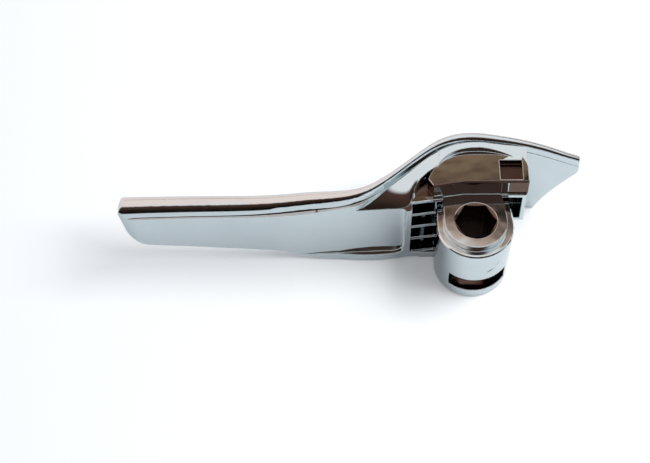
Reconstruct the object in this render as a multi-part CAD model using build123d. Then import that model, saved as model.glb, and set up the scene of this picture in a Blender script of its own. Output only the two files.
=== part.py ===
from build123d import *
import os
from math import cos, hypot, radians, sin, tan

# Pull lever of a car interior door handle: one chrome-plated moulding, in millimetres.
# Origin: on the pivot axis, at the lower end of the pivot hub.
# +Z runs up the pivot axis, -X to the free end of the arm, +Y to the decorative side.

# Arm
ARM_END_X = -88.8
ARM_FACE_Y = 1.9
ARM_THICKNESS = 4.8
ARM_TOP_Z = 23.0
ARM_END_FOOT_Z = 8.2
ARM_HEEL_Z = 4.5
ARM_HEEL_X = -52.0
ARM_END_FORWARD = 0.85
ARM_END_THICKENING = 0.4
NOSE_LENGTH = 4.2
NOSE_SETBACK = 0.8
DROP_START_X = -50.0
DROP_END_X = -33.0
ARM_CORNER_RADIUS = 7.0
ARM_END_LEAN = 11.0

# Bend between the arm and the plate behind the hub
BEND_START_X = -33.0
BEND_END_X = -2.0
BEND_THICKNESS = 1.75
THIN_START_X = -40.0
THIN_END_X = -18.0
RISE_START_X = -58.0
RISE_END_X = -6.0

# Plate and wing
PLATE_FACE_Y = 18.5
PLATE_THICKNESS = 2.5
PLATE_TOP_Z = 29.4
WING_START_X = -2.0
WING_TIP_X = 26.9
WING_TIP_TOP_Z = 22.0
WING_FALL = 1.8
WING_TIP_RADIUS = 2.6
WING_THICKNESS = 2.0
WING_FORWARD = 1.6
WING_FOOT_X = 17.2
WING_CUT_HEIGHT = 17.0
WING_CUT_HOLLOW = 0.9

# Section of the arm and plate
BORDER_HEIGHT = 1.8
BORDER_STEP = 0.3
BORDER_WIDENING = 0.6
BORDER_WIDENING_X = -65.0
BORDER_TILT = 0.2
CROWN_APEX_SHARE = 0.68
CROWN_DROP_SHARE = 0.36
OUTER_BOW = 0.5
FOOT_BOW = 0.2
SECTION_PITCH = 6.5
END_OVERRUN = 4.0

# Finger scoop with its lip and end rim
RIM_X = -15.6
RIM_WALL = 1.3
RIM_FRONT_Y = 2.6
LIP_FRONT_Y = 1.5
LIP_HEIGHT = 2.6
LEDGE_Z = 21.4
BLOCK_START_X = -38.0
SCOOP_START_X = -58.0
SCOOP_START_CLEARANCE = 0.6
SCOOP_MID_X = -40.0
SCOOP_MID_DEPTH = 0.15
SCOOP_DEPTH = 1.35
SCOOP_CORNER_RADIUS = 3.0
SCOOP_FILLET = 1.3

# Web that fills the hollow of the bend, with a sloping top
WEB_START_Y = 8.3
WEB_MID_X = -12.9
WEB_MID_Y = 11.1
WEB_END_X = -7.4
WEB_TOP_Z = 23.5
WEB_SLOPE = 24.4
WEB_TURN = 14.0

# Pivot hub
HUB_RADIUS = 9.7
HUB_DRAFT = 1.2
SHOULDER_Z = 19.0
LEG_LEAN = 8.0
PLATEAU_RADIUS = 7.8
PLATEAU_Z = 20.9
SOCKET_FLATS = 9.1
SOCKET_MOUTH = 10.7
SOCKET_MOUTH_DEPTH = 0.35
HUB_CHAMFER = 0.35

# Arc window in the hub wall, with its ends measured from straight ahead
WINDOW_Z = 3.2
WINDOW_HEIGHT = 5.0
WINDOW_LEFT_ANGLE = 41.0
WINDOW_RIGHT_ANGLE = 58.0

# Shelf behind the hub, with a pocket in its right end
SHELF_Z = 26.0
SHELF_THICKNESS = 5.4
SHELF_FRONT_Y = 8.0
SHELF_ROUNDING = 0.5
SHELF_KNEE_X = -2.5
SHELF_CORNER = (-10.3, 6.7)
SHELF_LEFT = (-11.7, 8.9)
SHELF_ARCH = (-9.0, 13.8)
SHELF_BACK = (-4.5, 17.6)
SHELF_RIGHT_X = 13.2
SHELF_RIGHT_Y = 12.8
SHELF_SHOULDER = (11.4, 16.3)
SHELF_SEAT_X = 6.0
ARCH_POINTS = ((-9.4, 12.6), (-5.1, 16.4), (1.0, 17.4), (7.0, 16.5), (9.6, 15.6), (13.2, 13.9))
ARCH_TOP_Z = 27.5
ARCH_SLOPE = 16.7
ARCH_FALL_X = 2.0
ARCH_FALL = 6.5
POCKET_LEFT_X = 6.1
POCKET_WALL = 1.5
POCKET_FRONT_WALL = 0.8
POCKET_LENGTH = 5.8
POCKET_DEPTH = 1.6

# Ribs beside the hub and the wall under them
RIB_THICKNESS = 0.9
RIB_FRONT_Y = 4.6
RIB_BACKSET = 1.2
RIB_TOP_Z = 21.8
RIB_PITCH = 5.35
RIB_COUNT = 4
FLOOR_WALL = 2.2
FLOOR_FRONT_Y = 2.6
SIDE_RIB_FRONT_Y = 7.5
SIDE_RIB_X = 13.0
SIDE_RIB_PITCH = 10.0
SIDE_RIB_COUNT = 2
SIDE_WALL = 1.0
CROSS_RIB_X = -12.6
CROSS_RIB_FRONT_Y = 8.2
CROSS_RIB_TOP_Z = 12.0

# Shapes that stand on their origin
FLOOR = (Align.CENTER, Align.CENTER, Align.MIN)

# How far inner walls run into the plate and stand clear of the ground, and in how many steps they follow it
BOND = 0.8
WALL_LIFT = 0.4
SEAT_COUNT = 14


def ease(x, start, end):
    """Smooth step from 0 at start to 1 at end."""
    t = min(max((x - start) / (end - start), 0.0), 1.0)
    return t * t * (3.0 - 2.0 * t)


def ease_slope(x, start, end):
    t = min(max((x - start) / (end - start), 0.0), 1.0)
    return 6.0 * t * (1.0 - t) / (end - start)


def wing_share(x):
    """0 over the hub, 1 at the wing's tip."""
    return max((x - WING_START_X) / (WING_TIP_X - WING_START_X), 0.0)


def end_share(x):
    """0 from the heel on, 1 at the arm's free end."""
    return max((ARM_HEEL_X - x) / (ARM_HEEL_X - ARM_END_X), 0.0) ** 2


def grip_y(x):
    """Finger side of the arm in plan, carried straight on past the bend."""
    return ARM_FACE_Y - ARM_END_FORWARD * end_share(x)


def face_y(x):
    """Finger side of the lever in plan: the arm, the bend and the plate."""
    bend = (PLATE_FACE_Y - ARM_FACE_Y) * ease(x, BEND_START_X, BEND_END_X)
    return grip_y(x) + bend - WING_FORWARD * wing_share(x) ** 2


def wall_y(x):
    """Wall measured along Y: thick in the arm, thin through the slanting bend, even in the plate."""
    wall = ARM_THICKNESS + ARM_END_THICKENING * end_share(x)
    wall += (BEND_THICKNESS - ARM_THICKNESS) * ease(x, THIN_START_X, THIN_END_X)
    wall += (PLATE_THICKNESS - BEND_THICKNESS) * ease(x, THIN_END_X, BEND_END_X)
    wall += (WING_THICKNESS - PLATE_THICKNESS) * wing_share(x)
    slope = (PLATE_FACE_Y - ARM_FACE_Y) * ease_slope(x, BEND_START_X, BEND_END_X)
    return wall * hypot(1.0, slope)


def top_z(x):
    rise = (PLATE_TOP_Z - ARM_TOP_Z) * ease(x, RISE_START_X, RISE_END_X)
    return ARM_TOP_Z + rise - (PLATE_TOP_Z - WING_TIP_TOP_Z) * wing_share(x) ** WING_FALL


def bottom_z(x):
    """The arm's lower edge slopes to its heel, then drops to the level of the hub's foot."""
    share = (x - ARM_END_X) / (ARM_HEEL_X - ARM_END_X)
    sloped = ARM_END_FOOT_Z + (ARM_HEEL_Z - ARM_END_FOOT_Z) * share
    return sloped * (1.0 - ease(x, DROP_START_X, DROP_END_X))


def steps(start, end, count):
    return [start + (end - start) * i / count for i in range(count + 1)]


def border_step(x):
    """Set-back of the border: it widens towards the bend and fades away in it."""
    widening = ease(x, BORDER_WIDENING_X, BEND_START_X) * (1.0 - ease(x, BEND_START_X, THIN_END_X))
    return BORDER_STEP + BORDER_WIDENING * widening


def lever_section(x):
    """Slab across the lever: finger face, ledge, set-back border, round crown, bowed outer face, foot."""
    near, wall = face_y(x), wall_y(x)
    low, high = bottom_z(x), top_z(x)
    far, half = near + wall, wall / 2.0
    crown = min(half, ARM_THICKNESS / 2.0)
    heel = (near, low)
    edge = high - wall * CROWN_DROP_SHARE
    share = wall / ARM_THICKNESS
    border = near + border_step(x) * share
    ledge, crease = (near, edge - BORDER_HEIGHT), (border, edge - BORDER_HEIGHT)
    rim = (border + BORDER_TILT * share, edge)
    apex = (near + wall * CROWN_APEX_SHARE, high)
    shoulder = (far, high - (far - apex[0]))
    middle = (far + OUTER_BOW, (high + low) / 2.0)
    hip = (far, low + crown)
    toe = (near + half, low + FOOT_BOW)
    outline = [
        Line(heel, ledge),
        Line(ledge, crease),
        Line(crease, rim),
        TangentArc(apex, rim, tangent=(-1, 0)),
        TangentArc(apex, shoulder, tangent=(1, 0)),
        ThreePointArc(shoulder, middle, hip),
        ThreePointArc(hip, toe, heel),
    ]
    across = Plane(origin=(x, 0, 0), x_dir=(0, 1, 0), z_dir=(1, 0, 0))
    return across * make_face(outline)


def lever_slab():
    start, end = ARM_END_X - END_OVERRUN, WING_TIP_X + END_OVERRUN
    count = round((end - start) / SECTION_PITCH)
    return loft([lever_section(x) for x in steps(start, end, count)])


def upright(outline, low, high):
    """Prism over a plan outline."""
    return Pos(0, 0, low) * extrude(make_face(outline), amount=high - low)


def sideways(outline):
    """Prism through the whole depth over an outline in X and Z."""
    front = Plane(origin=(0, 0, 0), x_dir=(1, 0, 0), z_dir=(0, -1, 0))
    return extrude(front * make_face(outline), amount=3.0 * PLATE_FACE_Y, both=True)


def ring(points):
    """Closed run of lines through the points."""
    return Polyline(*points, close=True).edges()


def arm_end_cutter():
    """What lies beyond the free end: it leans, with a large lower corner."""
    lean = tan(radians(ARM_END_LEAN))
    above, below = 2.0 * PLATE_TOP_Z, -PLATE_TOP_Z
    head = (ARM_END_X - lean * (above - ARM_TOP_Z), above)
    corner = (ARM_END_X + lean * (ARM_TOP_Z - ARM_END_FOOT_Z), ARM_END_FOOT_Z)
    slope = (ARM_HEEL_Z - ARM_END_FOOT_Z) / (ARM_HEEL_X - ARM_END_X)
    run = 3.0 * ARM_CORNER_RADIUS
    inner = (corner[0] + run, bottom_z(ARM_END_X) + slope * (corner[0] + run - ARM_END_X))
    outside = head[0] - run
    edge = FilletPolyline(head, corner, inner, radius=ARM_CORNER_RADIUS).edges()
    around = [inner, (inner[0], below), (outside, below), (outside, above), head]
    return sideways(edge + Polyline(*around).edges())


def nose_cutter():
    """What lies beyond the free end's nose in plan: the outer side curves round to the finger face."""
    root = ARM_END_X + NOSE_LENGTH
    near = face_y(root)
    far = near + wall_y(root) + OUTER_BOW
    tip = (ARM_END_X, near + NOSE_SETBACK)
    outside, front, behind = ARM_END_X - PLATE_TOP_Z, -PLATE_TOP_Z, PLATE_TOP_Z
    nose = [
        TangentArc((root, near), tip, tangent=(-1, 0)),
        TangentArc((root, far), tip, tangent=(-1, 0)),
    ]
    around = [(root, far), (root, behind), (outside, behind), (outside, front), (root, front), (root, near)]
    beyond = Pos(0, 0, ARM_TOP_Z) * make_face(nose + Polyline(*around).edges())
    lean = radians(ARM_END_LEAN)
    return extrude(beyond, amount=2.0 * PLATE_TOP_Z, dir=(-sin(lean), 0, cos(lean)), both=True)


def wing_end_cutter():
    """What lies beyond the wing: a hollow slanting lower edge runs into a round tip."""
    above, below = 2.0 * PLATE_TOP_Z, -PLATE_TOP_Z
    foot, knee, head = (WING_FOOT_X, 0.0), (WING_TIP_X, WING_CUT_HEIGHT), (WING_TIP_X, above)
    run = hypot(knee[0] - foot[0], knee[1])
    middle = (
        (foot[0] + knee[0]) / 2.0 - WING_CUT_HOLLOW * knee[1] / run,
        knee[1] / 2.0 + WING_CUT_HOLLOW * (knee[0] - foot[0]) / run,
    )
    outside = WING_TIP_X + PLATE_TOP_Z
    around = [knee, head, (outside, above), (outside, below), (foot[0], below), foot]
    cutter = sideways([ThreePointArc(foot, middle, knee), *Polyline(*around).edges()])
    tip = cutter.edges().filter_by(Axis.Y).sort_by_distance((knee[0], 0.0, knee[1]))[0]
    return fillet(tip, WING_TIP_RADIUS)


def finger_space():
    """All that lies in front of the plate, a bond's depth into it; only the hub reaches the ground."""
    start, end = BLOCK_START_X, SHELF_RIGHT_X + BOND
    seat = [(x, face_y(x) + BOND) for x in steps(start, end, SEAT_COUNT)]
    front = -2.0 * HUB_RADIUS
    edges = Spline(*seat).edges() + Polyline(seat[-1], (end, front), (start, front), seat[0]).edges()
    back = SHELF_FRONT_Y
    under_hub = [(-SIDE_RIB_X, front), (SIDE_RIB_X, front), (SIDE_RIB_X, back), (-SIDE_RIB_X, back)]
    return upright(edges, WALL_LIFT, PLATE_TOP_Z) + upright(ring(under_hub), 0.0, 2.0 * WALL_LIFT)


def grip_block():
    """Carries the finger side straight on past the bend, as far as the end rim."""
    behind = PLATE_FACE_Y + PLATE_THICKNESS
    start = (BLOCK_START_X, ARM_FACE_Y + BOND)
    middle = ((BLOCK_START_X + RIM_X) / 2.0, LIP_FRONT_Y)
    end = (RIM_X, RIM_FRONT_Y)
    around = [end, (RIM_X, behind), (start[0], behind), start]
    edges = [ThreePointArc(start, middle, end)] + Polyline(*around).edges()
    return upright(edges, 0.0, LEDGE_Z)


def finger_scoop():
    """Space cut out of the finger side: it deepens to the end rim and stops above the lip."""
    left, right = SCOOP_START_X, RIM_X - RIM_WALL
    front = -HUB_RADIUS
    start, end = (left, ARM_FACE_Y - SCOOP_START_CLEARANCE), (right, ARM_FACE_Y + SCOOP_DEPTH)
    floor = ThreePointArc(start, (SCOOP_MID_X, ARM_FACE_Y + SCOOP_MID_DEPTH), end)
    plan = [floor, *Polyline(end, (right, front), (left, front), start).edges()]
    space = upright(plan, 0.0, PLATE_TOP_Z)
    corner = space.edges().filter_by(Axis.Z).sort_by_distance((*end, LEDGE_Z))[0]
    space = fillet(corner, SCOOP_FILLET)
    above = 2.0 * LEDGE_Z
    low = FilletPolyline((left, LIP_HEIGHT), (right, LIP_HEIGHT), (right, above), radius=SCOOP_CORNER_RADIUS)
    around = [(right, above), (left, above), (left, LIP_HEIGHT)]
    return space & sideways(low.edges() + Polyline(*around).edges())


def bend_web():
    """Fills the hollow of the bend beside the hub, under a top that climbs along the bend."""
    behind = PLATE_FACE_Y + PLATE_THICKNESS
    start, end = (RIM_X - BOND, WEB_START_Y), (WEB_END_X, face_y(WEB_END_X) + BOND)
    edge = ThreePointArc(start, (WEB_MID_X, WEB_MID_Y), end)
    edges = [edge] + Polyline(end, (end[0], behind), (start[0], behind), start).edges()
    slope, turn = radians(WEB_SLOPE), radians(WEB_TURN)
    upward = (-sin(slope) * sin(turn), -sin(slope) * cos(turn), cos(slope))
    above = Plane(origin=(WEB_MID_X, WEB_MID_Y, WEB_TOP_Z), z_dir=upward)
    reach = 2.0 * PLATE_TOP_Z
    return upright(edges, 0.0, PLATE_TOP_Z) - above * Box(reach, reach, reach, align=FLOOR)


def hub_outline(radius):
    """U in plan: round in front, one leg straight back and one leaning in."""
    lean = radians(LEG_LEAN)
    back = PLATE_FACE_Y + PLATE_THICKNESS
    left, right = (-radius, 0.0), (radius * cos(lean), radius * sin(lean))
    right_back = (right[0] - (back - right[1]) * tan(lean), back)
    return [
        ThreePointArc(left, (0.0, -radius), right),
        *Polyline(right, right_back, (-radius, back), left).edges(),
    ]


def hub_block():
    foot_radius = HUB_RADIUS - SHOULDER_Z * tan(radians(HUB_DRAFT))
    body = extrude(make_face(hub_outline(foot_radius)), amount=SHOULDER_Z, taper=-HUB_DRAFT)
    body = chamfer(body.edges().filter_by(GeomType.CIRCLE), HUB_CHAMFER)
    return body + upright(hub_outline(PLATEAU_RADIUS), 0.0, PLATEAU_Z)


def socket():
    """Hexagon right through the hub, with a coned mouth at each end."""
    mouth = SOCKET_MOUTH / 2.0
    throat = SOCKET_FLATS / 2.0
    through = RegularPolygon(radius=throat, side_count=6, major_radius=False)
    bore = Pos(0, 0, -1) * extrude(through, amount=PLATEAU_Z + 2.0)
    cone = Cone(mouth, throat, SOCKET_MOUTH_DEPTH, align=FLOOR)
    return bore + cone + Pos(0, 0, PLATEAU_Z) * Rot(180, 0, 0) * cone


def hub_window():
    reach = 2.0 * HUB_RADIUS
    left, right = -radians(WINDOW_LEFT_ANGLE), radians(WINDOW_RIGHT_ANGLE)
    rays = [(reach * sin(a), -reach * cos(a)) for a in (left, (left + right) / 2.0, right)]
    edges = [ThreePointArc(*rays), Line(rays[2], (0, 0)), Line((0, 0), rays[0])]
    return upright(edges, WINDOW_Z, WINDOW_Z + WINDOW_HEIGHT)


def shelf():
    """Raised floor in front of the plate, arched at the back on both sides."""
    behind = PLATE_FACE_Y + PLATE_THICKNESS
    seat, right = (SHELF_SEAT_X, face_y(SHELF_SEAT_X)), (SHELF_RIGHT_X, SHELF_RIGHT_Y)
    edges = [
        ThreePointArc(SHELF_LEFT, SHELF_ARCH, SHELF_BACK),
        *Polyline(SHELF_BACK, (SHELF_BACK[0], behind), (seat[0], behind), seat).edges(),
        ThreePointArc(seat, SHELF_SHOULDER, right),
        *Polyline(right, (right[0], SHELF_FRONT_Y), (SHELF_KNEE_X, SHELF_FRONT_Y)).edges(),
        *Polyline((SHELF_KNEE_X, SHELF_FRONT_Y), SHELF_CORNER, SHELF_LEFT).edges(),
    ]
    block = upright(edges, SHELF_Z - SHELF_THICKNESS, SHELF_Z)
    rim = block.faces().sort_by(Axis.Z)[-1].edges().filter_by(GeomType.LINE)
    front = rim.sort_by(Axis.Y)[:3].sort_by(SortBy.LENGTH)[1:]
    return fillet(front, SHELF_ROUNDING)


def arch_web():
    """Thickens the plate down to an arch over the shelf, under a top that slopes to the front and falls along the wing."""
    behind = PLATE_FACE_Y + PLATE_THICKNESS
    left, right = ARCH_POINTS[0], ARCH_POINTS[-1]
    around = [right, (right[0], behind), (left[0], behind), left]
    block = upright(Spline(*ARCH_POINTS).edges() + Polyline(*around).edges(), SHELF_Z - BOND, PLATE_TOP_Z)
    crest, reach = max(y for x, y in ARCH_POINTS), 2.0 * PLATE_TOP_Z
    above = Box(reach, reach, reach, align=FLOOR)
    for start, fall in ((0.0, 0.0), (ARCH_FALL_X, ARCH_FALL)):
        block -= Pos(start, crest, ARCH_TOP_Z) * Rot(ARCH_SLOPE, fall, 0) * above
    return block


def shelf_pocket():
    right = SHELF_RIGHT_X - POCKET_WALL
    front = SHELF_FRONT_Y + POCKET_FRONT_WALL
    back = front + POCKET_LENGTH
    points = [(POCKET_LEFT_X, front), (right, front), (right, back), (POCKET_LEFT_X, back)]
    return upright(ring(points), SHELF_Z - POCKET_DEPTH, PLATE_TOP_Z)


def slat(left, right, front, low, high, backset=0.0):
    """Wall from a front edge back into the plate; the edge may slant back to the right."""
    behind = PLATE_FACE_Y + PLATE_THICKNESS
    points = [(left, front), (right, front + backset), (right, behind), (left, behind)]
    return upright(ring(points), low, high)


def ribs():
    """Flat walls left of the hub, with the floor under them and a cross rib."""
    left, right = RIM_X - RIM_WALL, -HUB_RADIUS + HUB_CHAMFER + RIM_WALL
    walls = [slat(left, right, FLOOR_FRONT_Y, 0.0, FLOOR_WALL)]
    for i in range(RIB_COUNT):
        top = RIB_TOP_Z - i * RIB_PITCH
        walls.append(slat(left, right, RIB_FRONT_Y, top - RIB_THICKNESS, top, RIB_BACKSET))
    walls.append(slat(CROSS_RIB_X, CROSS_RIB_X + RIB_THICKNESS, CROSS_RIB_FRONT_Y, 0.0, CROSS_RIB_TOP_Z))
    return walls


def side_box():
    """Open box between the hub's right leg and the wing."""
    walls = []
    for i in range(SIDE_RIB_COUNT):
        top = PLATEAU_Z - i * SIDE_RIB_PITCH
        walls.append(slat(0.0, SIDE_RIB_X, SIDE_RIB_FRONT_Y, top - RIB_THICKNESS, top))
    foot = PLATEAU_Z - RIB_THICKNESS - (SIDE_RIB_COUNT - 1) * SIDE_RIB_PITCH
    walls.append(slat(SIDE_RIB_X - SIDE_WALL, SIDE_RIB_X, SIDE_RIB_FRONT_Y, foot, PLATEAU_Z))
    return walls


def door_lever():
    inner = grip_block() + bend_web() + hub_block() + shelf() + arch_web()
    for wall in ribs() + side_box():
        inner += wall
    inner &= finger_space()
    body = lever_slab() + inner
    for space in (finger_scoop(), socket(), hub_window(), shelf_pocket()):
        body -= space
    for beyond in (arm_end_cutter(), nose_cutter(), wing_end_cutter()):
        body -= beyond
    return body


lever = door_lever()
print("valid", lever.is_valid, "solids", len(lever.solids()), "faces", len(lever.faces()))
os.makedirs("parts", exist_ok=True)
export_step(lever, "parts/door_lever.step")
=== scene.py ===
from functools import reduce
from math import cos, pi, radians, sin

import bpy
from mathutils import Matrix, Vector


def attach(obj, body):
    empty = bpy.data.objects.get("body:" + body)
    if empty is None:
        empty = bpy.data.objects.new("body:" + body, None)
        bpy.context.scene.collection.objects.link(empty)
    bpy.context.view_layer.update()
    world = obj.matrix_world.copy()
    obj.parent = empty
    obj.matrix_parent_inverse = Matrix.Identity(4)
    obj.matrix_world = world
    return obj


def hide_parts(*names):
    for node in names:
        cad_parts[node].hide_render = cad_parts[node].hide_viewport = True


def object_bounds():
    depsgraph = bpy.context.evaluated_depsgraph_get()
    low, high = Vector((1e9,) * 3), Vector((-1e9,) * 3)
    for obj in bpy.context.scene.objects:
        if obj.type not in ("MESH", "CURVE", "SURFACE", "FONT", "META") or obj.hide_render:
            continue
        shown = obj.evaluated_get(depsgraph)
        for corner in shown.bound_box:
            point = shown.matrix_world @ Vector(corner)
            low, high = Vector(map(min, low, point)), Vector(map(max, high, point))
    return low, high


# Pull lever of a car interior door handle, seen from its finger side on a white table.
# Lengths are metres, as in the frame; MM turns millimetres into them. Angles are degrees.
MM = 0.001

# Camera: it looks down on the finger side; the image is 650 by 463 pixels
IMAGE_WIDTH = 650
FOCAL_PIXELS = 1700.0
SENSOR_WIDTH = 36.0
CAMERA_PLACE = (-37.18 * MM, -230.1 * MM, 370.3 * MM)
CAMERA_ELEVATION = 57.0

# Mesh finish: faces that meet at less than the angle are shaded as one round
SMOOTH_ANGLE = 19.0
MERGE_DISTANCE = 0.0005 * MM

# Rounding of the upper edge of the arm's free end: its axis in X and Z, its radius and the tilts of its facets
FREE_END_AXIS = (-86.1 * MM, 20.8 * MM)
FREE_END_ROUNDING = 2.2 * MM
FREE_END_TILTS = (14.0, 29.0, 43.0, 58.0, 72.0, 87.0)

# Fairing in the hollow of the bend: guide points, in mm, of its lower edge along the grip, its end rim and the web,
# of its round middle and of its upper edge on the wall
FAIRING_LINES = (
    ((-31, 2.75, 21.42), (-29, 2.66, 21.42), (-26, 2.78, 21.42), (-22, 2.99, 21.42), (-18, 3.2, 21.42),
     (-15.9, 3.7, 21.7), (-15.4, 7.4, 23.6), (-13.2, 10.7, 25.5), (-9.0, 13.0, 26.25)),
    ((-31, 2.8, 21.46), (-28.8, 2.8, 21.55), (-26, 3.4, 22.05), (-22.5, 4.3, 23.0), (-18.7, 5.3, 23.5),
     (-16.3, 6.4, 23.9), (-15, 9.6, 25.1), (-12.8, 12.2, 25.98), (-8.9, 14.4, 26.68)),
    ((-31, 2.9, 21.5), (-28.6, 3.1, 21.8), (-26.2, 4.3, 23.1), (-23.3, 6.1, 24.5), (-20, 8.5, 25.2),
     (-17, 10.9, 25.7), (-14.5, 12.9, 26.2), (-12, 14.8, 26.78), (-8.8, 16.6, 27.35)),
)
# Curve through the guide points, depth of the pad below them, and its finish: edges over the angle stay sharp
GUIDE_ORDER = 4
GUIDE_RESOLUTION = 3
FAIRING_DEPTH = 2.5 * MM
FAIRING_EDGE_ANGLE = 35.0
FAIRING_SUBDIVISIONS = 2

# Chrome plate: noises by their sockets, with scales per mm, the span of each noise that shows and its roughness.
# Smudges are 7 mm across and flow waves 5 mm long. Hairlines, stretched along the arm, are 0.4 mm apart: coarser
# than real ones, so that they show
CHROME_CLEAN = "#C8D2D6"
CHROME_SMUDGED = "#BDC8CC"
SMUDGES = {"Scale": 1.0 / 7.0, "Detail": 4.0, "Roughness": 0.55}
SMUDGE_SPAN = (0.35, 0.75)
SMUDGE_ROUGHNESS = (0.035, 0.085)
HAIRLINES = {"Scale": 1.0 / 0.4, "Detail": 2.0}
HAIRLINE_STRETCH = (0.06, 1.0, 1.0)
HAIRLINE_SPAN = (0.68, 0.8)
HAIRLINE_ROUGHNESS = (0.0, 0.05)
FLOW_WAVES = {"Scale": 1.0 / 5.0, "Detail": 1.0}
FLOW_WAVE_HEIGHT = 0.5 * MM
FLOW_WAVE_STRENGTH = 0.04
EDGE_ROUNDING = 0.3 * MM
EDGE_SAMPLES = 6

# Painted shade and dark reflections, in brown, where the chrome lies in shade or mirrors dark things. Each place is
# given by a few coordinates (R is the distance from the pivot axis, N how much a face looks up) with their middle
# and half width in mm
# Colour of the painted shade and dark reflections, and the roughness added where they are painted
PAINTED_SHADE_TINT = "#5E4D45"
PAINTED_SHADE_ROUGHNESS = 0.12
SHELF_EDGE_Z = ("Z", 25.75, 0.3)
SLANTED_EDGE_START = (-3.18, 8.17)
SLANTED_EDGE_STEP = (-0.975, -0.1625)
SLANTED_EDGE_STEPS = 8
PAINTED_SHADE_PLACES = (
    (("R", 0.0, 5.45), ("Z", 10.0, 10.89)),  # Socket
    (("R", 0.0, 9.15), ("Z", 5.7, 2.55)),  # Hub window
    (("X", -28.5, 12.6), ("Z", 21.4, 0.05), ("N", 1.0, 0.3)),  # Grip's ledge
    (("X", 10.8, 2.45), ("Y", 8.0, 0.1), ("Z", 23.4, 2.5)),  # Shelf's right front
    (("X", -11.0, 0.85), ("Y", 7.8, 1.3), ("Z", 23.3, 2.65)),  # Shelf's left end
    (("X", -13.0, 1.9), ("Y", 9.5, 3.0), ("Z", 21.4, 2.0)),  # Gap beside that end
    (("X", 8.9, 2.9), ("Y", 11.7, 3.0), ("Z", 25.15, 0.84)),  # Shelf's pocket
    (("X", 9.6, 3.6), ("Y", 8.25, 0.32), SHELF_EDGE_Z),  # Shelf's front edge, right
    (("X", 1.65, 4.35), ("Y", 8.25, 0.32), SHELF_EDGE_Z),  # Shelf's front edge, middle
) + tuple(
    # Shelf's front edge, left, which slants forward and is followed in short steps
    (("X", SLANTED_EDGE_START[0] + step * SLANTED_EDGE_STEP[0], 0.49),
     ("Y", SLANTED_EDGE_START[1] + step * SLANTED_EDGE_STEP[1], 0.34), SHELF_EDGE_Z)
    for step in range(SLANTED_EDGE_STEPS)
)

# Handling marks: centre in mm, tilt, length and width in mm, strength. Each is a lens, MARK_DEPTH in mm through the
# skin, that fades in from its rim at 1 to a share of its size
MARKS = (
    ((3.8, -8.8, 11.8), 35.0, 2.8, 0.6, 1.0),
    ((5.4, -7.9, 13.4), 55.0, 2.8, 0.4, 0.4),
    ((20.3, 19.4, 14.4), 35.0, 1.8, 0.35, 0.35),
)
MARK_DEPTH = 4.0
MARK_FADE = (1.0, 0.4)
MARK_TINT = "#2E3338"

# Soft box above the table, a little to the right
SOFT_BOX_PLACE = (800 * MM, 80 * MM, 760 * MM)
SOFT_BOX_WIDTH = 900 * MM
SOFT_BOX_DEPTH = 800 * MM
SOFT_BOX_RADIANCE = 7.2

# Light that reaches the table from all round
FILL_COLOUR = "#F2F7FF"
FILL_STRENGTH = 0.42

# Room as the metal mirrors it. Ceiling and back wall lie on a plane one unit overhead. A pair is where a soft edge
# starts and ends there, towards the back or, for the doorway, to the right. A slant is how much nearer an edge comes
# per unit to the right. Directions lower than the lowest view count as that view
LOWEST_VIEW = 0.02
CEILING_STRENGTH = 1.3
CEILING_WARM = "#FFE7DF"
CEILING_COOL = "#F5F0EF"
CEILING_COOL_EDGE = (0.3, 0.0)
CEILING_COOL_SLANT = -7.0
CEILING_FRONT = (-0.64, -0.42)
CEILING_FRONT_SLANT = -0.2
CEILING_GLOW = "#DAB297"
CEILING_GLOW_EDGE = (0.655, 0.671)
CEILING_BACK = (0.671, 0.691)
CEILING_BACK_SLANT = 0.27
BACK_WALL_DARK = "#5E4232"
BACK_WALL_BROWN = "#977A61"
BACK_WALL_BROWN_EDGE = (0.685, 0.71)
BACK_WALL_FOOT = (0.77, 0.9)
DOORWAY = "#2A2019"
DOORWAY_EDGE = (0.095, 0.125)
# Right wall and viewer's side go by the direction itself: how far it points to the right and up
RIGHT_WALL = "#E9EFF2"
RIGHT_WALL_EDGE = (0.15, 0.4)
RIGHT_WALL_TOP = (0.4, 0.2)
VIEWER_SIDE = (
    (0.0, "#080605"), (0.2, "#1A1412"), (0.5, "#33241D"), (0.65, "#48352D"), (0.86, "#5E4138"), (0.92, "#8C7A72"),
)

# Table: the eye and the metal see it a little lighter, as the white ground of a product photograph
TABLE_SIZE = 4.0
TABLE_TONES = ("#F6F8F9", "#FBFCFC")
TABLE_CLOUDS = {"Scale": 8.0, "Detail": 2.0}
TABLE_LIFT = 0.1
MIRRORED_TABLE_LIFT = 0.02
WHITE = "#FFFFFF"


def linear(code):
    """Linear colour of an sRGB hex value such as "#C8CCCF"."""
    channels = [int(code[i:i + 2], 16) / 255 for i in (1, 3, 5)]
    return tuple(c / 12.92 if c <= 0.04045 else ((c + 0.055) / 1.055) ** 2.4 for c in channels) + (1.0,)


def add_node(tree, kind, inputs=None, **settings):
    """Adds a node, sets its properties and fills its inputs: another node's output is linked, a value is set."""
    node = tree.nodes.new(kind)
    for name, value in settings.items():
        setattr(node, name, value)
    for name, value in (inputs or {}).items():
        if isinstance(value, bpy.types.NodeSocket):
            tree.links.new(value, node.inputs[name])
        else:
            node.inputs[name].default_value = value
    return node


def calc(tree, operation, *values):
    """Output of a calculation with numbers."""
    return add_node(tree, "ShaderNodeMath", dict(enumerate(values)), operation=operation).outputs[0]


def calc_all(tree, operation, values):
    """Output of the same calculation with any count of numbers, one after another."""
    return reduce(lambda total, value: calc(tree, operation, total, value), values)


def remap(tree, value, span, result=(0.0, 1.0), shape="LINEAR"):
    """Output that goes from the first to the second result while the value crosses the span."""
    ends = {"From Min": span[0], "From Max": span[1], "To Min": result[0], "To Max": result[1]}
    return add_node(tree, "ShaderNodeMapRange", {"Value": value, **ends}, interpolation_type=shape).outputs[0]


def soft_edge(tree, value, span):
    """Output that goes softly from 0 to 1 while the value crosses the span."""
    return remap(tree, value, span, shape="SMOOTHSTEP")


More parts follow.
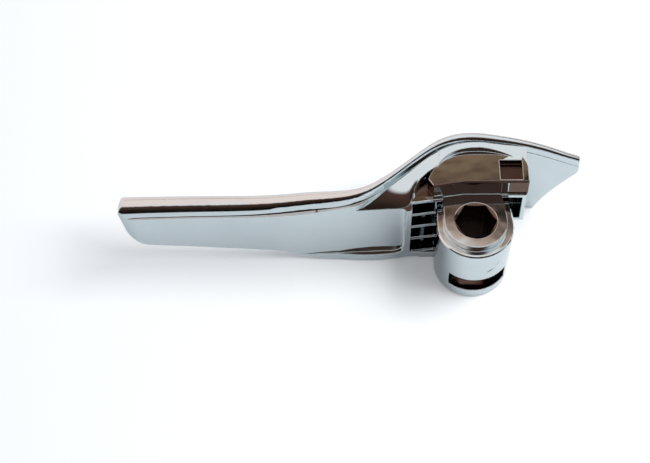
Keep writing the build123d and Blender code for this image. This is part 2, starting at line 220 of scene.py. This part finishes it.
def blend(tree, factor, first, second):
    """Output of a blend from the first colour, at factor 0, to the second."""
    colours = {"Factor": factor, "A": first, "B": second}
    return add_node(tree, "ShaderNodeMix", colours, data_type="RGBA").outputs["Result"]


def noise(tree, place, sockets):
    """Output of a noise texture, from 0 to 1."""
    return add_node(tree, "ShaderNodeTexNoise", {"Vector": place, **sockets}).outputs["Fac"]


def empty_material(name):
    """New material without nodes, and its node tree."""
    material = bpy.data.materials.new(name)
    material.use_nodes = True
    material.node_tree.nodes.clear()
    return material, material.node_tree


def painted_shade_mask(tree, in_mm, facing):
    """1 in the places where shade and dark reflections are painted, 0 elsewhere."""
    place = add_node(tree, "ShaderNodeSeparateXYZ", {0: in_mm}).outputs
    flat = add_node(tree, "ShaderNodeVectorMath", {0: in_mm, 1: (1.0, 1.0, 0.0)}, operation="MULTIPLY").outputs[0]
    coordinates = {
        "X": place["X"],
        "Y": place["Y"],
        "Z": place["Z"],
        "R": add_node(tree, "ShaderNodeVectorMath", {0: flat}, operation="LENGTH").outputs["Value"],
        "N": add_node(tree, "ShaderNodeSeparateXYZ", {0: facing}).outputs["Z"],
    }
    spots = []
    for spans in PAINTED_SHADE_PLACES:
        inside = [calc(tree, "COMPARE", coordinates[name], middle, half) for name, middle, half in spans]
        spots.append(calc_all(tree, "MULTIPLY", inside))
    return calc_all(tree, "MAXIMUM", spots)


def handling_marks(tree, in_mm):
    """Strength of the short dark handling marks: each is a thin tilted lens in the moulding's skin."""
    strengths = []
    for centre, tilt, length, width, strength in MARKS:
        turned = add_node(tree, "ShaderNodeVectorRotate",
                          {"Vector": in_mm, "Center": centre, "Angle": radians(tilt)}, rotation_type="Y_AXIS")
        offset = add_node(tree, "ShaderNodeVectorMath", {0: turned.outputs[0], 1: centre}, operation="SUBTRACT")
        per_half = tuple(2.0 / size for size in (length, MARK_DEPTH, width))
        scaled = add_node(tree, "ShaderNodeVectorMath", {0: offset.outputs[0], 1: per_half}, operation="MULTIPLY")
        reach = add_node(tree, "ShaderNodeVectorMath", {0: scaled.outputs[0]}, operation="LENGTH").outputs["Value"]
        strengths.append(remap(tree, reach, MARK_FADE, (0.0, strength)))
    return calc_all(tree, "ADD", strengths)


def bright_chrome():
    """Bright chrome plate on moulded ABS: a mirror with slight waviness, fine hairlines and thin smudges."""
    material, tree = empty_material("bright chrome plate on moulded ABS")
    own = add_node(tree, "ShaderNodeTexCoord").outputs
    # Object coordinates in millimetres
    in_mm = add_node(tree, "ShaderNodeVectorMath", {0: own["Object"], 3: 1.0 / MM}, operation="SCALE").outputs[0]
    smudge = noise(tree, in_mm, SMUDGES)
    drawn = add_node(tree, "ShaderNodeMapping", {"Vector": in_mm, "Scale": HAIRLINE_STRETCH}).outputs[0]
    hairline = noise(tree, drawn, HAIRLINES)
    painted_shade = painted_shade_mask(tree, in_mm, own["Normal"])
    marked = handling_marks(tree, in_mm)

    # Smudges and hairlines dull the mirror, and so does the painted shade
    dulled = remap(tree, smudge, SMUDGE_SPAN, SMUDGE_ROUGHNESS)
    scratched = remap(tree, hairline, HAIRLINE_SPAN, HAIRLINE_ROUGHNESS)
    roughness = calc(tree, "MULTIPLY_ADD", painted_shade, PAINTED_SHADE_ROUGHNESS, calc(tree, "ADD", scratched, dulled))
    # Smudges and marks darken it, and shade and dark reflections are painted into it in brown
    colour = blend(tree, smudge, linear(CHROME_CLEAN), linear(CHROME_SMUDGED))
    # Painted shade: brown in the socket, the hub window, on the ledge and around the shelf
    colour = blend(tree, painted_shade, colour, linear(PAINTED_SHADE_TINT))
    colour = blend(tree, marked, colour, linear(MARK_TINT))
    # Moulded edges are rounded, and the plate follows the moulding's flow waves
    edges = add_node(tree, "ShaderNodeBevel", {"Radius": EDGE_ROUNDING}, samples=EDGE_SAMPLES).outputs[0]
    surface = add_node(tree, "ShaderNodeBump", {
        "Height": noise(tree, in_mm, FLOW_WAVES), "Normal": edges,
        "Strength": FLOW_WAVE_STRENGTH, "Distance": FLOW_WAVE_HEIGHT,
    }).outputs[0]

    shader = add_node(tree, "ShaderNodeBsdfPrincipled", {
        "Base Color": colour, "Roughness": roughness, "Normal": surface, "Metallic": 1.0,
    })
    add_node(tree, "ShaderNodeOutputMaterial", {"Surface": shader.outputs[0]})
    return material


def white_table():
    """Matt white laminate with faint clouds."""
    material, tree = empty_material("matt white laminate")
    place = add_node(tree, "ShaderNodeTexCoord").outputs["Object"]
    tone = blend(tree, noise(tree, place, TABLE_CLOUDS), *(linear(code) for code in TABLE_TONES))
    shader = add_node(tree, "ShaderNodeBsdfDiffuse", {"Color": tone})
    rays = add_node(tree, "ShaderNodeLightPath").outputs
    mirrored = calc(tree, "MULTIPLY", rays["Is Glossy Ray"], MIRRORED_TABLE_LIFT)
    lift = calc(tree, "MULTIPLY_ADD", rays["Is Camera Ray"], TABLE_LIFT, mirrored)
    glow = add_node(tree, "ShaderNodeEmission", {"Color": linear(WHITE), "Strength": lift})
    both = add_node(tree, "ShaderNodeAddShader", {0: shader.outputs[0], 1: glow.outputs[0]})
    add_node(tree, "ShaderNodeOutputMaterial", {"Surface": both.outputs[0]})
    return material


def deselect_all():
    """Clears the selection of objects."""
    bpy.ops.object.select_all(action="DESELECT")


def active_object():
    """The object that the last operator added or worked on."""
    return bpy.context.view_layer.objects.active


def merge_points():
    """Joins the points of the mesh in edit mode that lie on each other, and leaves all of it selected."""
    bpy.ops.mesh.select_all(action="SELECT")
    bpy.ops.mesh.remove_doubles(threshold=MERGE_DISTANCE)


def apply_modifier(kind, **settings):
    """Gives the active object a modifier and applies it."""
    bpy.ops.object.modifier_add(type=kind)
    modifier = active_object().modifiers[-1]
    for name, value in settings.items():
        setattr(modifier, name, value)
    bpy.ops.object.modifier_apply(modifier=modifier.name)


def round_free_end():
    """Cuts facets along the upper edge of the arm's free end, in edit mode, and closes each cut."""
    for tilt in FREE_END_TILTS:
        outward = (-sin(radians(tilt)), 0.0, cos(radians(tilt)))
        touch = (FREE_END_AXIS[0] + FREE_END_ROUNDING * outward[0], 0.0,
                 FREE_END_AXIS[1] + FREE_END_ROUNDING * outward[2])
        bpy.ops.mesh.select_all(action="SELECT")
        bpy.ops.mesh.bisect(plane_co=touch, plane_no=outward, clear_outer=True)
        merge_points()
        bpy.ops.mesh.fill_holes(sides=0)


def finished_lever(node):
    """Smooth copy of the moulding: its loose triangles are joined and its rounds shaded as rounds."""
    deselect_all()
    node.select_set(True)
    bpy.context.view_layer.objects.active = node
    bpy.ops.object.duplicate()
    lever = active_object()
    lever.name = "chrome_lever"
    bpy.ops.object.mode_set(mode="EDIT")
    bpy.ops.mesh.customdata_custom_splitnormals_clear()
    merge_points()
    round_free_end()
    bpy.ops.object.mode_set(mode="OBJECT")
    bpy.ops.object.shade_smooth_by_angle(angle=radians(SMOOTH_ANGLE))
    # Large faces set the direction of the shading, so that slivers beside them leave no streaks
    apply_modifier("WEIGHTED_NORMAL", keep_sharp=True)
    return lever


def guide_line(points):
    """Polyline mesh along a smooth curve with these guide points, in mm."""
    deselect_all()
    bpy.ops.curve.primitive_nurbs_path_add()
    spline = active_object().data.splines[0]
    spline.points.add(len(points) - len(spline.points))
    for point, place in zip(spline.points, points):
        point.co = tuple(MM * value for value in place) + (1.0,)
    spline.order_u = GUIDE_ORDER
    spline.use_endpoint_u = True
    spline.resolution_u = GUIDE_RESOLUTION
    bpy.ops.object.convert(target="MESH")
    return active_object()


def join_all(pieces):
    """One object from several."""
    deselect_all()
    for piece in pieces:
        piece.select_set(True)
    bpy.context.view_layer.objects.active = pieces[0]
    bpy.ops.object.join()
    return active_object()


def bend_fairing():
    """Smooth pad between the grip, the bend and the web, whose underside lies in the moulding."""
    strips = []
    for lower, upper in zip(FAIRING_LINES, FAIRING_LINES[1:]):
        strips.append(join_all([guide_line(lower), guide_line(upper)]))
        bpy.ops.object.mode_set(mode="EDIT")
        bpy.ops.mesh.select_all(action="SELECT")
        bpy.ops.mesh.bridge_edge_loops()
        bpy.ops.object.mode_set(mode="OBJECT")
    fairing = join_all(strips)
    fairing.name = "bend_fairing"
    bpy.ops.object.mode_set(mode="EDIT")
    merge_points()
    bpy.ops.mesh.extrude_region_move(TRANSFORM_OT_translate={"value": (0, 0, -FAIRING_DEPTH)})
    bpy.ops.mesh.select_all(action="SELECT")
    bpy.ops.mesh.normals_make_consistent(inside=False)
    # The edges of its upper and under side stay sharp
    bpy.ops.mesh.select_all(action="DESELECT")
    bpy.ops.mesh.edges_select_sharp(sharpness=radians(FAIRING_EDGE_ANGLE))
    bpy.ops.transform.edge_crease(value=1.0)
    bpy.ops.object.mode_set(mode="OBJECT")
    apply_modifier("SUBSURF", levels=FAIRING_SUBDIVISIONS)
    bpy.ops.object.shade_smooth_by_angle(angle=radians(FAIRING_EDGE_ANGLE))
    return fairing


def dress(lever, fairing):
    """Gives the pieces their chrome and their place in the frame."""
    chrome = bright_chrome()
    for piece in (lever, fairing):
        piece.data.materials.clear()
        piece.data.materials.append(chrome)
        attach(piece, "root")
    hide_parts("door_lever")


def lay_table(height):
    """White table under the lever."""
    deselect_all()
    bpy.ops.mesh.primitive_plane_add(size=TABLE_SIZE, location=(0, 0, height))
    table = active_object()
    table.name = "table"
    table.data.materials.append(white_table())


def hang_soft_box():
    """One soft box overhead lights the table and gives the lever its soft shadow."""
    deselect_all()
    bpy.ops.object.light_add(type="AREA", location=SOFT_BOX_PLACE)
    box = active_object()
    box.name = "soft_box"
    box.data.shape = "RECTANGLE"
    box.data.size = SOFT_BOX_WIDTH
    box.data.size_y = SOFT_BOX_DEPTH
    # A lamp's power spreads over a half sphere of directions by the cosine rule: pi times area times radiance
    box.data.energy = pi * SOFT_BOX_WIDTH * SOFT_BOX_DEPTH * SOFT_BOX_RADIANCE
    box.visible_camera = False
    box.visible_glossy = False


def viewer_side(tree, upward):
    """Viewer's side of the room: black at the floor, brown further up."""
    ramp = add_node(tree, "ShaderNodeValToRGB", {"Fac": upward})
    stops = ramp.color_ramp.elements
    stops[0].position, stops[1].position = VIEWER_SIDE[0][0], VIEWER_SIDE[-1][0]
    for position, _ in VIEWER_SIDE[1:-1]:
        stops.new(position)
    for stop, (_, code) in zip(stops, VIEWER_SIDE):
        stop.color = linear(code)
    return ramp.outputs["Color"]


def mirrored_room(tree):
    """Room in the metal: ceiling warm at the back and cooler overhead, brown back wall, dark viewer's side."""
    way = add_node(tree, "ShaderNodeTexCoord").outputs["Generated"]
    toward = add_node(tree, "ShaderNodeSeparateXYZ", {0: way}).outputs
    height = calc(tree, "MAXIMUM", toward["Z"], LOWEST_VIEW)
    across = calc(tree, "DIVIDE", toward["X"], height)
    along = calc(tree, "DIVIDE", toward["Y"], height)

    def slanted_edge(slant, span):
        """Soft edge across the plane overhead."""
        return soft_edge(tree, calc(tree, "MULTIPLY_ADD", across, slant, along), span)

    warm, cool = (
        tuple(CEILING_STRENGTH * channel for channel in linear(code)[:3]) + (1.0,)
        for code in (CEILING_WARM, CEILING_COOL)
    )
    # Viewer's side, with a pale wall low on the right
    low_right = calc(tree, "MULTIPLY", soft_edge(tree, toward["X"], RIGHT_WALL_EDGE),
                     soft_edge(tree, toward["Z"], RIGHT_WALL_TOP))
    sides = blend(tree, low_right, viewer_side(tree, toward["Z"]), linear(RIGHT_WALL))
    # Back wall: dark with a darker doorway next to the ceiling, brown below, then a pale foot
    back_wall = blend(tree, soft_edge(tree, across, DOORWAY_EDGE), linear(BACK_WALL_DARK), linear(DOORWAY))
    back_wall = blend(tree, soft_edge(tree, along, BACK_WALL_BROWN_EDGE), back_wall, linear(BACK_WALL_BROWN))
    back_wall = blend(tree, soft_edge(tree, along, BACK_WALL_FOOT), back_wall, warm)
    # Ceiling, which glows along its back edge
    ceiling = blend(tree, slanted_edge(CEILING_COOL_SLANT, CEILING_COOL_EDGE), warm, cool)
    room = blend(tree, slanted_edge(CEILING_FRONT_SLANT, CEILING_FRONT), sides, ceiling)
    room = blend(tree, slanted_edge(CEILING_BACK_SLANT, CEILING_GLOW_EDGE), room, linear(CEILING_GLOW))
    room = blend(tree, slanted_edge(CEILING_BACK_SLANT, CEILING_BACK), room, back_wall)
    return add_node(tree, "ShaderNodeBackground", {"Color": room})


def room_world():
    """White for the eye, a fill light for the table, and a room that the metal mirrors."""
    world = bpy.data.worlds.new("room")
    bpy.context.scene.world = world
    world.use_nodes = True
    tree = world.node_tree
    tree.nodes.clear()
    rays = add_node(tree, "ShaderNodeLightPath").outputs
    mirrored = mirrored_room(tree)
    fill = add_node(tree, "ShaderNodeBackground", {"Color": linear(FILL_COLOUR), "Strength": FILL_STRENGTH})
    backdrop = add_node(tree, "ShaderNodeBackground", {"Color": linear(WHITE)})
    lit = add_node(tree, "ShaderNodeMixShader",
                   {0: rays["Is Glossy Ray"], 1: fill.outputs[0], 2: mirrored.outputs[0]})
    seen = add_node(tree, "ShaderNodeMixShader",
                    {0: rays["Is Camera Ray"], 1: lit.outputs[0], 2: backdrop.outputs[0]})
    add_node(tree, "ShaderNodeOutputWorld", {"Surface": seen.outputs[0]})


def set_camera():
    """Camera where the photograph was taken from."""
    deselect_all()
    bpy.ops.object.camera_add(location=CAMERA_PLACE, rotation=(radians(90.0 - CAMERA_ELEVATION), 0, 0))
    camera = active_object()
    camera.data.sensor_width = SENSOR_WIDTH
    camera.data.lens = SENSOR_WIDTH * FOCAL_PIXELS / IMAGE_WIDTH
    bpy.context.scene.camera = camera


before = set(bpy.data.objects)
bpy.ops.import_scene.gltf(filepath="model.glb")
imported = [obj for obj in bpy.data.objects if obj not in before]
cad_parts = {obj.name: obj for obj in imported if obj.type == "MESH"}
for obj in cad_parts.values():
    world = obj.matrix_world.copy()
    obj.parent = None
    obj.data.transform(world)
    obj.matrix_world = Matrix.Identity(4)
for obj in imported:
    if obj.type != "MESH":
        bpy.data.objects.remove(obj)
loaded_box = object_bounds()
bpy.context.scene.view_settings.view_transform = "Standard"
dress(finished_lever(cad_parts["door_lever"]), bend_fairing())
# The lever stands on the table with its lowest point
lay_table(loaded_box[0][2])
hang_soft_box()
room_world()
set_camera()
